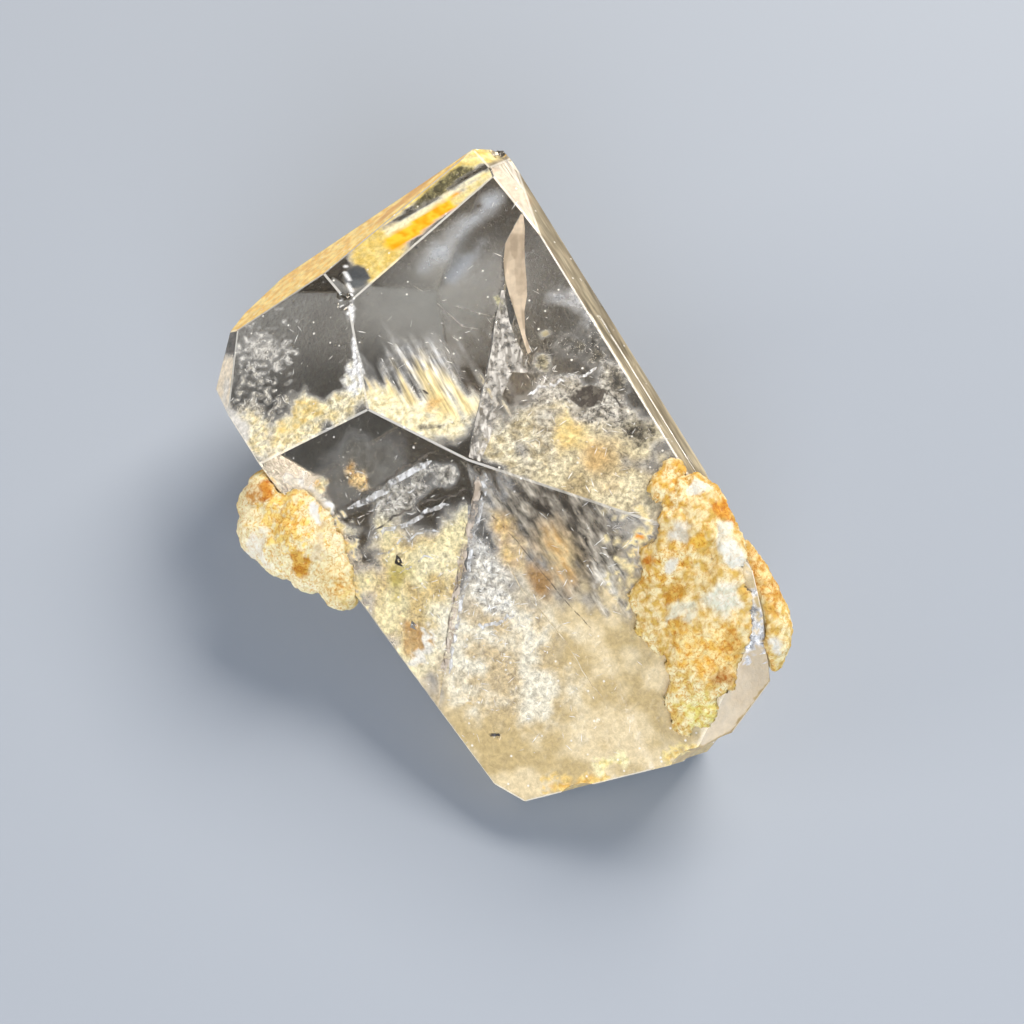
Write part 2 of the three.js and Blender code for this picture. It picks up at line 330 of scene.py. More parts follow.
def blob(point, centre, reach):  # 1 at the centre, 0 past the reach
    away = math.sqrt(sum(((p - c) / r) ** 2 for p, c, r in zip(point, centre, reach)))
    return clamp(etchLook["fade"] * (1 - away))


etchLook = {
    "fade": 2.2,  # how fast an etched area deepens from its rim
    "plainBelow": 0.4,  # mm above the floor
    "cells": 0.85, "cellShare": 0.75,  # per mm, and the share of the depth that they take
    "grains": 1.7, "grainShare": 0.4, "base": 0.2,
    "across": 1.6, "along": 0.06, "striaeShare": 0.16,  # growth lines along the prism
    "prismFace": 0.25,  # cosine to the prism's axis below which a face carries them
}
etchedAreas = [  # centre and reach in mm, and how deep the etching goes there, 1 = etchDepth
    ((-5, -4, 13), (9, 7, 9), 0.9),
    ((-3, -12, 10), (8, 8, 9), 1.0),
    ((1, -19, 8), (9, 7, 9), 0.55),
    ((4, 3.5, 21), (4.5, 5.5, 4), 0.7),
    ((9, -3, 21), (7, 6, 4), 0.55),
]


def etching(point, normal):  # how much of the etch depth is gone at a place on the surface
    if point.z < etchLook["plainBelow"]:
        return 0.0
    share = max(blob(point, centre, reach) * depth for centre, reach, depth in etchedAreas)
    cells = noise.voronoi(point * etchLook["cells"])[0]
    grains = noise.noise(point * etchLook["grains"])
    crumpled = etchLook["cellShare"] * (cells[1] - cells[0]) + etchLook["grainShare"] * grains + etchLook["base"]
    if abs(normal.dot(prismAxis)) >= etchLook["prismFace"]:
        return clamp(share * crumpled)
    across, fine = point.cross(prismAxis), etchLook["across"]
    striae = noise.noise(Vector((across.x * fine, across.y * fine, point.y * etchLook["along"]))) * 0.5 + 0.5
    return clamp(share * crumpled + etchLook["striaeShare"] * striae)


relief = crystal.vertex_groups.new(name="etching")
for vertex in crystal.data.vertices:
    relief.add([vertex.index], etching(vertex.co / mm, vertex.normal), "REPLACE")
applyModifier(crystal, "DISPLACE", {"vertex_group": "etching", "strength": -crystalLook["etchDepth"] * mm,
                                    "mid_level": 0.0})
crystal.vertex_groups.remove(crystal.vertex_groups["etching"])
bpy.ops.object.shade_smooth_by_angle(angle=math.radians(crystalLook["smoothAngle"]))
print("crystal:", len(crystal.data.polygons), "faces")

crystalPatches = [
    # thin haze on the faces at the back and underneath
    blot((0, 0, 8), (60, 60, 60), "#c9c2b4", "#dfd8ca", ragged=0, soft=0.1, vein="clouds", cover=0.1, on="sides"),
    # milky champagne towards the broken base, all round
    blot((2, -33, 6), (40, 29, 40), "#c4ac7a", "#e2cda2", ragged=0.06, vein="clouds", cover=0.94, fleck=0.35),
    blot((-6.3, -5.4, 12), (7.5, 8, 9), "#ccb175", "#efe0ac", ragged=0.16, soft=0.5, vein="clouds", cover=0.82,
         fleck=0.8, on="upperFlank"),
    blot((-2.6, -12.5, 10), (7, 9, 8), "#d0b98e", "#f0e6cc", ragged=0.12, soft=0.6, vein="clouds", cover=0.84,
         fleck=0.7, on="frontFlank upperFlank"),
    blot((-1.4, -8, 13.8), (2.2, 5.4, 5), "#cfc6b4", "#f8f2e4", turn=-10, ragged=0.2, soft=0.8, cover=0.76,
         fleck=1, on="frontFlank"),
    blot((-7.6, -3.4, 12), (1.1, 1.5, 2), "#cdbb6c", "#b9a358", soft=0.8, cover=0.8, on="upperFlank"),
    blot((-7.9, -7.6, 9.4), (1.4, 1.4, 2), "#b98f56", "#d2b078", ragged=0.5, soft=0.7, cover=0.8, on="upperFlank"),
    band([(-8.6, -9.3, 8.1), (-7.6, -9, 9), (-7, -8.2, 9.8)], 0.4, "#f3ecdc", ragged=0.7, grain="grit",
         cover=0.8, on="upperFlank"),
    # a grey veil painted over the clear window of the upper flank to lighten it
    blot((-6.5, 4.8, 15.4), (6, 3.4, 4), "#b4b0a6", "#9b968a", ragged=0.1, soft=0.6, cover=0.26, fleck=0.3,
         on="upperFlank"),
    blot((-7.4, -12.8, 7.4), (2.6, 3.4, 3), "#c9b184", "#e9dab2", ragged=0.1, soft=0.8, vein="clouds", cover=0.84,
         fleck=0.6, on="upperFlank"),
    # the streaky window in the front flank, with brown limonite in it; its dark grey is painted shade, the dark seen
    # through clear crystal
    blot((4.9, -8.2, 17.4), (4.6, 8.8, 6), "#585045", "#c4baa8", turn=20, ragged=0.15, soft=0.4, grain="streaks",
         vein="streaks", cover=0.66, streaky=0.8, fleck=0.9, on="frontFlank"),
    blot((0.6, -6.8, 15.8), (1.6, 3, 3), "#e8c680", "#cda668", ragged=0.15, soft=0.8, cover=0.88, fleck=0.7,
         on="frontFlank"),
    blot((1.9, -10.4, 14.8), (1.2, 2.3, 3), "#a37c4a", "#b08a58", ragged=0.12, soft=0.7, cover=0.8, on="frontFlank"),
    blot((3.9, -9.8, 16.5), (2.3, 4.4, 3), "#ecd09a", "#c29a5e", ragged=0.15, soft=1, grain="streaks",
         vein="streaks", cover=0.95, streaky=0.6, fleck=0.7, on="frontFlank"),
    blot((6.5, -13.1, 16.3), (1.4, 2, 3), "#b9b2a2", "#ded6c6", ragged=0.3, soft=0.8, grain="streaks",
         vein="streaks", cover=0.66, streaky=0.8, fleck=1, on="frontFlank"),
    # a painted glint: a small white spot on the front flank
    blot((7.9, -13.9, 16.9), (0.5, 0.35, 0.5), "#ffffff", cover=0.9, on="frontFlank"),
    band([(-5.6, 1, 15), (-3.2, 0.2, 16.4), (-0.9, -0.4, 17.9)], 1.3, "#9c968a", "#e8e2d4", ragged=0.5, soft=0.9,
         cover=0.5, fleck=1, on="upperFlank"),
    # the upper flank: clear window, pale spots, yellow stain
    blot((-9.6, 5.6, 14.6), (0.8, 1, 1.4), "#f3e6b8", "#e0b45c", ragged=0.5, soft=0.5, cover=0.7, fleck=1,
         on="upperFlank"),
    blot((-7.6, 4.3, 15.5), (0.8, 1.3, 1.4), "#ecc98a", "#d9a04a", ragged=0.5, soft=0.5, cover=0.6, fleck=1,
         on="upperFlank"),
    blot((-11.6, 6.4, 14), (0.8, 0.9, 1), "#ffffff", ragged=0.5, soft=0.5, cover=0.6, on="upperFlank"),
    band([(-12.2, 7.6, 14), (-11.6, 5.2, 13.8), (-10.2, 4.3, 13.6)], 0.7, "#e2d9c6", "#f2ead6", ragged=0.5, soft=0.4,
         cover=0.8, on="upperFlank"),
    # the strip along the right edge
    blot((16, 0, 21), (30, 60, 30), "#93876f", "#b3a78c", ragged=0, soft=0.1, vein="streaks", cover=0.74,
         streaky=1, on="strip stripTip tipCorner"),
    # top face: champagne cloud in its lower part
    blot((8, -6.6, 20), (9, 7.6, 6), "#b4a27a", "#e2d5b0", ragged=0.2, soft=0.6, vein="clouds", cover=0.76,
         fleck=0.8, on="top"),
    blot((6.4, -1.6, 20.3), (4.4, 3.4, 3), "#a6987a", "#e0d6bc", ragged=0.1, soft=0.8, cover=0.74, fleck=0.9,
         on="top"),
    blot((3.6, -0.6, 19.8), (3.2, 3.6, 3), "#baab86", "#e6dcbe", ragged=0.25, soft=0.6, cover=0.74, fleck=0.9,
         on="top"),
    blot((9.6, -5.6, 20.4), (2.2, 2.2, 3), "#dab87e", "#d0ae76", ragged=0.3, soft=0.9, cover=0.72, on="top"),
    blot((8.3, -2.2, 20.6), (1.9, 1.9, 3), "#eed898", "#debf7c", ragged=0.3, soft=0.9, cover=0.8, fleck=0.6,
         on="top"),
    blot((12.6, -1.4, 21.6), (2.8, 3.4, 3), "#b0a898", "#e8e2d4", soft=0.8, cover=0.5, fleck=1, on="top"),
    blot((10.7, -0.6, 21.4), (1.3, 0.75, 1), "#a09888", "#c9c1b0", turn=24, ragged=0.1, cover=0.8, fleck=0.3,
         on="top"),
    # painted shade: dark spots standing in for clear crystal that looks dark
    blot((14, -1.2, 22), (1.2, 1.8, 2), "#48433a", "#9a917c", soft=1.2, cover=0.4, fleck=1, on="top"),
    blot((12.8, -4.9, 21.2), (1.4, 1.8, 2), "#5d5648", "#a0977f", soft=1.2, cover=0.45, fleck=1, on="top"),
    blot((13.7, 6.8, 23.2), (1.5, 2.2, 3), "#dfe2e6", "#ffffff", soft=1.1, cover=0.4, fleck=0.4, on="top"),
    blot((9.4, 4.2, 21.8), (1.7, 0.9, 2), "#b9ae8e", "#8f876f", turn=30, ragged=0.5, soft=0.6, cover=0.62, fleck=1,
         on="top"),
    blot((10.4, 5.9, 22.2), (0.7, 0.5, 1), "#d9cda4", "#b5a982", ragged=0.3, soft=0.6, cover=0.6, fleck=0.1,
         on="top"),
    # painted shade: a dark spot standing in for clear crystal that looks dark
    blot((11.9, 3.4, 22.5), (2.4, 2.6, 2), "#4d473b", "#8a816c", ragged=0.3, soft=1, cover=0.34, fleck=1, on="top"),
    blot((9.6, 1.6, 21.3), (3.4, 1, 2), "#a89f8c", "#ded7c8", turn=-8, soft=0.7, cover=0.56, fleck=1, on="top"),
    # feathery streaks of limonite under the top face, white tips before golden bodies
    blot((0.9, 8.2, 20.4), (5.6, 3.6, 4), "#f2ecde", "#ffffff", turn=-24, ragged=0.3, soft=0.9, grain="streaks",
         cover=0.36, streaky=1, fleck=1, on="top"),
    blot((0.2, 5.6, 19.9), (5.6, 3.2, 4), "#fcf8e8", "#f2deaa", turn=-24, ragged=0.3, soft=0.7, grain="streaks",
         vein="streaks", cover=0.64, streaky=1, fleck=1, on="top"),
    band([(-3.6, 8.4, 19.6), (-1.6, 6, 19.6), (0.6, 4.2, 19.8), (2.8, 3.8, 20.4)], 1.5, "#faf0cc", "#f0d89c",
         ragged=0.3, soft=0.7, grain="streaks", vein="streaks", cover=0.8, streaky=0.8, fleck=0.8, on="top"),
    band([(-3.8, 7.4, 19.3), (-1.2, 4.4, 19.4), (1, 2.2, 19.6)], 1.9, "#faf2d2", "#efdfae", ragged=0.2, soft=0.6,
         cover=0.84, fleck=0.6, on="top"),
    blot((0.6, 5.2, 20), (1.1, 0.9, 2), "#d9a558", "#e8c283", soft=0.8, cover=0.84, on="top"),
    band([(-1.6, 4, 19.4), (0.2, 3, 19.6), (2, 2.6, 19.9)], 0.35, "#8d8672", "#c9bfa2", ragged=0.5, soft=0.5,
         cover=0.6, fleck=1, on="top"),
    blot((4.8, 14, 22.1), (9, 6, 4), "#d4d4ce", ragged=0, soft=0.8, cover=0.15, fleck=0.15, on="top"),
    # painted sheen: soft bands of reflected light painted on the top face behind the golden edge
    band([(4.4, 16.2, 22.4), (8.3, 17.4, 23.6), (11.8, 18.6, 24.4)], 1.5, "#e4ebf4", ragged=0.15, soft=1.2,
         cover=0.4, fleck=0.15, on="top"),
    band([(6.2, 14.2, 22.7), (8.6, 15, 23.2), (9.8, 15.8, 23.6)], 0.9, "#e4ebf4", ragged=0.2, soft=1, cover=0.26,
         fleck=0.15, on="top"),
    blot((8.4, 10.6, 22.6), (0.5, 0.6, 1), "#d9d3a8", cover=0.5, on="top"),
    # dome face: cloud of specks, stain towards its lower edge, pale rim
    blot((-9.6, 18.2, 16.7), (1.9, 2.4, 3), "#bdb8ad", "#e6e2d9", ragged=0.6, soft=0.6, grain="grit", cover=0.55,
         fleck=0.8, on="dome"),
    blot((-12, 14.8, 15), (2, 2.6, 3), "#bfb8a8", "#e9e2d2", ragged=0.6, soft=0.5, grain="grit", cover=0.42,
         fleck=1, on="dome"),
    band([(-13.6, 13.6, 14.1), (-12.4, 10.9, 14.7), (-9.6, 9.8, 16.3), (-7, 9.3, 17.8), (-4.6, 8.8, 19.3)], 2.6,
         "#f6eccb", "#e6d29a", ragged=0.3, soft=0.7, cover=0.8, fleck=0.9, on="dome"),
    band([(-11.4, 11.2, 15.3), (-9.2, 11, 16.7), (-7.6, 10.3, 17.6)], 1, "#f8e8b4", "#ebcb7c", ragged=0.5,
         soft=0.9, cover=0.8, fleck=0.6, on="dome"),
    band([(-5.4, 11.6, 19), (-4.8, 9.6, 19.3)], 0.9, "#f7efcf", "#ffffff", ragged=0.5, soft=0.5, cover=0.8,
         fleck=0.9, on="dome"),
    band([(-2.2, 15.8, 20.9), (-3.2, 13.2, 20.4), (-4.2, 9.6, 19.7)], 0.3, "#ffffff", ragged=0.3, soft=0.4,
         cover=0.7, fleck=1, on="dome top"),
    blot((-14.2, 17, 12), (3, 12, 7), "#fff0d6", "#f0dfc2", ragged=0.1, soft=0.2, cover=0.86, fleck=0.4,
         on="leftBevel sides"),
    band([(-13.4, 19.6, 14.2), (-14, 16, 13.8), (-13.9, 13.2, 13.8)], 1, "#f6f2ea", ragged=0.3, soft=0.6,
         cover=0.6, fleck=0.4, on="dome leftBevel"),
    # golden limonite on the far dome, seen through the bevel before it
    blot((2, 24, 20), (60, 60, 60), "#ffe07a", "#efb93a", ragged=0, soft=0.1, vein="streaks", cover=0.95,
         streaky=1, fleck=0.3, on="farDome"),
    band([(3.4, 23.4, 21.6), (7.4, 24.4, 22.8), (11, 25, 23.6)], 1, "#e3a92c", "#d39820", ragged=0.3, soft=0.6,
         cover=0.96, fleck=0.2, on="farDome"),
    blot((1.8, 19.6, 22.2), (3.2, 3, 3), "#ecd489", "#e2c266", ragged=0.15, cover=0.82, fleck=0.4, on="gold"),
    band([(3.6, 19.8, 22.7), (6, 20.1, 23.4), (9.4, 20.6, 24.2)], 1, "#f39a00", "#ffc030", ragged=0.08, soft=0.2,
         cover=0.97, fleck=0.1, on="gold"),
    band([(3.4, 20.9, 22.6), (6.8, 21.1, 23.5), (12.6, 21.4, 25)], 0.36, "#f7edc4", ragged=0.15, soft=0.4,
         cover=0.85, fleck=0.4, on="gold"),
    band([(9.6, 20.3, 24.2), (13, 21, 25.2)], 0.7, "#f3e4ae", "#ecd78c", ragged=0.1, soft=0.4, cover=0.8,
         fleck=0.4, on="gold"),
    blot((9.6, 22.3, 24.3), (3.6, 0.8, 2), "#77714f", "#a39a6d", turn=12, ragged=0.2, cover=0.36, fleck=0.8,
         on="gold"),
    band([(0, 21.6, 21.6), (5, 22.4, 23), (9.2, 23.5, 24.2), (12.6, 24, 25)], 0.55, "#f0dc90", "#e6c766",
         ragged=0.1, soft=0.4, cover=0.88, on="gold"),
    blot((-0.5, 18.7, 21.6), (1, 1.3, 2), "#7b8084", ragged=0.1, soft=0.2, cover=0.25, fleck=0.2, on="gold"),
    band([(-0.9, 20.2, 21.5), (-1.6, 17.2, 21.3)], 0.16, "#ffffff", ragged=0.1, cover=0.9, on="gold"),
    band([(13.4, 20.8, 25.3), (14.6, 17.6, 24.9)], 1, "#a58d70", "#bda78a", ragged=0.1, cover=0.9, fleck=0.3,
         on="tipCorner stripTip strip"),
    blot((13.2, 23.4, 25.2), (1.6, 1.8, 3), "#f5e5a6", "#eccf72", ragged=0.2, soft=0.4, cover=0.88,
         on="gold tipCorner farDome sides"),
    blot((-2.2, 16.3, 21.2), (0.5, 0.6, 1), "#ffffff", ragged=0.6, grain="grit", cover=0.7, fleck=1),
    # limonite film round the matrix and at the broken rim
    blot((9.8, -16, 18.3), (3.2, 4.6, 5), "#ddb25c", "#f0dca4", soft=0.4, grain="grit", cover=0.9),
    blot((9.3, -12.3, 18.7), (0.75, 0.4, 0.6), "#e08a12", turn=-40, ragged=0.3, soft=0.2, fleck=0, on="frontFlank"),
    band([(-10.1, 4, 13.5), (-10.9, 3.2, 13.2), (-11.6, 2.2, 12.8)], 0.6, "#f8f7f2", ragged=0.2, soft=0.2,
         fleck=0.1),
    band([(-10.6, 2.4, 12.6), (-10.9, 0, 11.8), (-11.6, -2.8, 10.2)], 1.1, "#e3b050", "#f4dea0", ragged=0.5,
         grain="grit", cover=0.95, fleck=0.6),
    band([(-13.4, 8.4, 13.4), (-12.2, 5.8, 13.4)], 0.8, "#e6c98c", "#f2e6c6", ragged=0.5, cover=0.9),
    band([(-3.4, -22.6, 5), (-1.2, -23.7, 5.8), (0.2, -24.2, 6.4)], 0.6, "#dba23c", "#ecc878", ragged=0.5,
         grain="grit", cover=0.95),
    band([(0.6, -23.4, 6.9), (2.4, -24, 7.8)], 0.5, "#ead27a", "#f3e5b0", ragged=0.6, grain="grit", cover=0.9),
    band([(5.4, -25.9, 9), (7, -26.5, 9.6)], 0.6, "#dfb04a", "#f0d890", ragged=0.6, grain="grit", cover=0.9),
    blot((10, -24, 12), (9, 6, 9), "#ad9160", "#bda478", ragged=0.1, soft=0.5, vein="clouds", cover=0.95, fleck=0.2,
         on="baseFacet strip sides"),
    # broken glassy facets above the base corner
    blot((13.8, -21.6, 16.8), (1.7, 2.2, 2), "#e8e6e0", "#ffffff", ragged=0.5, grain="grit", cover=0.6, fleck=1),
]

topaz, tree = newMaterial("natural_topaz")
# Grown crystal of IOR 1.62: polished faces, faintly smoky by depth, and milky where it is full of veils.
spot = placeInMm(tree)
stain = addNode(tree, "Attribute", {"attribute_name": "stain"})
habit = addNode(tree, "Attribute", {"attribute_name": "habit"})
habits = addNode(tree, "SeparateXYZ", links={0: habit.outputs["Vector"]})
edgeWearAndHighlight = addNode(tree, "Attribute", {"attribute_name": "edge_wear_and_highlight"})
grit = addNode(tree, "TexNoise", {"Scale": 2.4, "Detail": 4.0, "Roughness": 0.72, "Distortion": 0.35},
               {"Vector": spot})
drawnOut = addNode(tree, "Mapping", {"vector_type": "TEXTURE", "Rotation": prismLean, "Scale": (1, 9, 1)},
                   {"Vector": spot})
streaks = addNode(tree, "TexNoise", {"Scale": 2.3, "Detail": 2.0, "Roughness": 0.65}, {"Vector": drawnOut})
grain = addNode(tree, "Mix", {"data_type": "FLOAT"}, {0: habits.outputs[0], 2: grit, 3: streaks})
centred = addNode(tree, "MapRange", {"clamp": False, "From Min": 0.35, "From Max": 0.65, "To Min": -0.5,
                                     "To Max": 0.5}, {"Value": grain})
gap = addNode(tree, "Math", {"operation": "SUBTRACT", 0: 1.0}, {1: stain.outputs["Alpha"]})
broke = addNode(tree, "Math", {"operation": "MULTIPLY"}, {0: gap, 1: stain.outputs["Alpha"]})
swing = addNode(tree, "Math", {"operation": "MULTIPLY"}, {0: broke, 1: habits.outputs[1]})
broken = addNode(tree, "Math", {"operation": "MULTIPLY"}, {0: swing, 1: centred})
cover = addNode(tree, "Math", {"operation": "MULTIPLY_ADD", 1: crystalLook["breakUp"], "use_clamp": True},
                {0: broken, 2: stain.outputs["Alpha"]})
dust = addNode(tree, "TexVoronoi", {"Scale": 0.9}, {"Vector": spot})
speck = addNode(tree, "MapRange", {"From Min": 0.11, "From Max": 0.05, "To Max": 0.8},
                {"Value": dust.outputs["Distance"]})
# painted edge highlight together with the wear, plus dust specks
wornAndLit = addNode(tree, "Math", {"operation": "MULTIPLY_ADD", 1: crystalLook["wearAndHighlight"]},
               {0: edgeWearAndHighlight.outputs["Fac"], 2: speck})
covered = addNode(tree, "Math", {"operation": "MAXIMUM", "use_clamp": True}, {0: wornAndLit, 1: cover})
tone = addNode(tree, "MapRange", {"From Min": 0.34, "From Max": 0.66, "To Min": 0.5, "To Max": 1.35},
               {"Value": grain})
mottled = addNode(tree, "Mix", {"data_type": "RGBA", "blend_type": "MULTIPLY"},
                  {0: habits.outputs[1], 6: stain.outputs["Color"], 7: tone})
colour = addNode(tree, "Mix", {"data_type": "RGBA", 7: hexColour(crystalLook["wornAndLitColour"])},
                 {0: wornAndLit, 6: mottled.outputs[2]})
crumpled = addNode(tree, "Bump", {"Distance": crystalLook["crumple"] * mm},
                   {"Height": grain, "Strength": habits.outputs[1]})
through = addNode(tree, "Math", {"operation": "SUBTRACT", 0: 1.0}, {1: covered})
roughness = addNode(tree, "MapRange", {"To Min": 0.02, "To Max": 0.22}, {"Value": covered})
shader = addNode(tree, "BsdfPrincipled", {"IOR": crystalLook["ior"]}, {
    "Base Color": colour.outputs[2], "Roughness": roughness, "Transmission Weight": through, "Normal": crumpled})
depth = addNode(tree, "VolumeAbsorption", {
    "Color": hexColour(crystalLook["absorption"]), "Density": crystalLook["density"]})
addNode(tree, "OutputMaterial", links={"Surface": shader, "Volume": depth})
paintPatches(crystal, crystalPatches, crystalLook["clear"])
seat(crystal, topaz, "topaz_crystal")
print("crystal: painted with", len(crystalPatches), "patches")


# fractures: each has a look, and its edges in mm
def sheet(look, near, far):  # a broad gap between two edges, laid on the top face
    return {"look": look, "line": near, "far": far, "face": "top"}


def ribbon(look, width, jag, *line):  # a crack that follows the crystal's faces, and strays by its jag
    return {"look": look, "width": width, "jag": jag, "line": line}


def sliver(look, into, wave, *line):  # a thin gap that goes into the crystal
    return {"look": look, "into": into, "wave": wave, "line": line}


fractures = {
    "seam_lens": sheet(
        "lens",
        [(13.5, 16.3, 24.4), (12.4, 15.5, 24.05), (11.2, 14.6, 23.65), (10.4, 13.3, 23.25), (9.8, 11.8, 22.9),
         (9.45, 10.2, 22.55), (9.2, 8.8, 22.3), (8.8, 6.8, 21.9), (8.5, 5.1, 21.6)],
        [(13.6, 16.1, 24.4), (13.2, 15, 24.1), (12.5, 13.7, 23.8), (11.9, 12.4, 23.4), (11.3, 10.9, 23),
         (10.7, 9.6, 22.7), (9.9, 8.5, 22.4), (9.1, 6.7, 21.9), (8.8, 5.1, 21.6)]),
    "seam_foil": sheet(
        "silver",
        [(9.1, 11.1, 22.7), (8.5, 10.2, 22.35), (7.5, 9, 21.95), (6.7, 7.7, 21.5), (5.8, 6.4, 21.1),
         (5.1, 5.5, 20.85)],
        [(9.3, 11, 22.6), (8.9, 9.7, 22.3), (8.5, 8.4, 22), (8.3, 6.9, 21.7), (8.2, 5.4, 21.5), (8, 3.5, 21.2)]),
    "seam_band": sheet(
        "silver",
        [(5.3, 5.7, 20.9), (4.2, 4.4, 20.5), (3.1, 3, 20), (1.8, 1.4, 19.5), (0.7, -0.2, 19)],
        [(6.7, 4.3, 21), (5.4, 3.2, 20.6), (4.3, 2, 20.2), (2.7, 0.2, 19.6), (1.3, -1, 19)]),
    "seam_lower": ribbon("seam", 0.55, 0.15, (0.9, -1.6, 18.2), (0.3, -2.6, 17.2), (-0.8, -3.8, 15.8),
        (-1.9, -4.9, 14.4), (-3, -6.3, 12.8), (-4, -7.5, 11.5), (-5.5, -9.5, 9.4), (-6.9, -11.2, 7.6)),
    "seam_lower_side": ribbon("glint", 0.3, 0.2, (1.5, -1.7, 18.5), (0.9, -2.8, 17.5), (-0.2, -4, 16.1),
        (-1.4, -5.1, 14.7), (-2.5, -6.5, 13.1), (-3.6, -7.7, 11.7), (-5.1, -9.6, 9.6), (-6.5, -11.3, 7.8)),
    "seam_ridge": ribbon("faint", 0.14, 0.14, (0.7, -1.3, 18.3), (-0.2, -2.9, 16.9), (-1.5, -4.2, 15.3),
        (-3.3, -6.4, 12.8), (-4.4, -7.7, 11.4), (-6, -9.8, 9.2), (-7.2, -11.4, 7.4)),
    "seam_line": sliver("shade", (0.13, -0.06, -0.05), 0.05, (11.4, 14.6, 23.8), (10.1, 13.1, 23.4),
        (9.2, 11.4, 22.9), (7.4, 9.1, 22.1), (5.4, 6.1, 21.25), (3, 3.2, 20.2), (1.2, 0.8, 19.4)),
    "flank_crack_a": ribbon("shade", 0.2, 0.16, (-9.1, 3.3, 13.6), (-7.9, 2.9, 14.4), (-6.7, 2.9, 15.2),
        (-5.4, 2.5, 16.1), (-4.1, 2.5, 16.9), (-2.9, 2.1, 17.7), (-1.7, 2, 18.5)),
    "flank_glint_a": ribbon("glint", 0.5, 0.24, (-8.7, 3, 13.7), (-6.4, 2.3, 15.2), (-3.9, 1.9, 16.9),
        (-1.8, 1.4, 18.2)),
    "flank_crack_b": ribbon("shade", 0.18, 0.16, (-7.5, 0.4, 13.4), (-5.4, 0, 14.7), (-3.8, -0.4, 15.7),
        (-1.6, -1.4, 16.9), (-0.3, -2, 17.6)),
    "flank_glint_b": ribbon("glint", 0.36, 0.24, (-7.9, 0, 13), (-5.8, -0.7, 14.2), (-3.6, -1.1, 15.5),
        (-1.9, -1.9, 16.5)),
    "flank_glint_c": ribbon("glint", 0.12, 0.3, (-7.4, 1.9, 14), (-6, 1.4, 14.8), (-4.6, 1.3, 15.7),
        (-3, 0.7, 16.6)),
    "flank_glint_d": ribbon("glint", 0.16, 0.3, (-8.2, -1.2, 12.4), (-6.6, -1.6, 13.2), (-4.8, -1.9, 14.2),
        (-3.2, -2.9, 14.8)),
    "flank_glint_e": ribbon("glint", 0.14, 0.3, (-7.2, -3.4, 12), (-5.6, -3.4, 13), (-4.4, -4.2, 13.4)),
    "line_long": ribbon("faint", 0.09, 0.05, (0.3, -3.8, 17.1), (1.5, -7, 16.1), (2.3, -10, 15),
        (3.2, -13, 13.9), (4, -15.4, 13.2)),
    "line_short": ribbon("straw", 0.08, 0.05, (0.2, -7.8, 15), (0.5, -10.2, 13.8), (1.2, -12.5, 13.1),
        (1.8, -14.8, 12.3), (2.3, -18.1, 10.8), (2.7, -19.9, 10.2)),
    "scratch_a": sliver("chalk_and_glint", (0.14, 0.02, -0.1), 0, (3.1, 15.3, 22), (3.5, 14.5, 21.95), (4.1, 14.2, 22)),
    "scratch_b": sliver("chalk_and_glint", (0.14, 0.02, -0.1), 0, (4.1, 12.9, 21.85), (4.6, 11.3, 21.7), (5, 10, 21.6),
        (6, 9.1, 21.7)),
    "scratch_c": sliver("chalk_and_glint", (0.12, 0.02, -0.08), 0, (5.3, 11.9, 21.9), (6.4, 10.6, 22), (7.6, 9.4, 22)),
    "white_crack": ribbon("glint", 0.26, 0.3, (-3.3, -10.2, 11.3), (-2.6, -10.5, 11.5), (-1.9, -10.9, 11.8),
        (-0.8, -11.2, 12.5)),
    "crack_upper_right": ribbon("glint", 0.24, 0.2, (6.9, 2, 20.8), (8, 2.2, 21.1), (9.1, 1.6, 21.2),
        (10.2, 1.8, 21.5), (11.2, 1.3, 21.6), (12.7, 1.3, 21.9)),
    "crack_loop": ribbon("shade", 0.12, 0.05, (9.6, 0.2, 21.1), (10.1, -1.2, 21), (11.5, -1.6, 21.2),
        (12.2, -0.8, 21.4), (11.6, 0.2, 21.6), (10.4, 0.4, 21.4), (9.6, 0.2, 21.1)),
    "crack_c_right": ribbon("shade", 0.13, 0.1, (11.8, 0, 21.6), (12.6, -1.4, 21.6), (12.9, -2.9, 21.5)),
    "speck_low": ribbon("shade", 0.25, 0.05, (-5.9, -16.8, 6.1), (-5.5, -17, 6.15), (-5.1, -17.3, 6.25)),
    "speck_mid": ribbon("shade", 0.16, 0.03, (-0.1, 6.7, 20.1), (0.2, 6.1, 20)),
    "speck_top": ribbon("shade", 0.2, 0.03, (10.5, 18.9, 24.15), (11.1, 18.7, 24.25)),
}

fractureLooks = {  # its two colours, the least and most that it hides, roughness, crumples per mm
    "lens": ("#7d6b56", "#d8c6ac", 0.85, 1.0, 0.4, 1.3),
    # silver: the reflection of an open gap, painted as light and dark crumples
    "silver": ("#5e584e", "#f4eee4", 0.15, 0.95, 0.25, 3.2),
    "seam": ("#8a765e", "#eadccc", 0.15, 0.95, 0.3, 2.2),
    "glint": ("#8f887c", "#ffffff", 0.0, 0.9, 0.25, 3.0),
    "faint": ("#4a4238", "#7a7062", 0.1, 0.6, 0.5, 1.0),
    # white of scratches, and the painted glints of the bright strokes
    "chalk_and_glint": ("#efe9dc", "#ffffff", 0.45, 0.95, 0.4, 1.0),
    "straw": ("#c2aa7c", "#ecdfc0", 0.3, 0.9, 0.4, 1.0),
    "shade": ("#2e2822", "#6b6258", 0.25, 0.95, 0.5, 1.0),
}


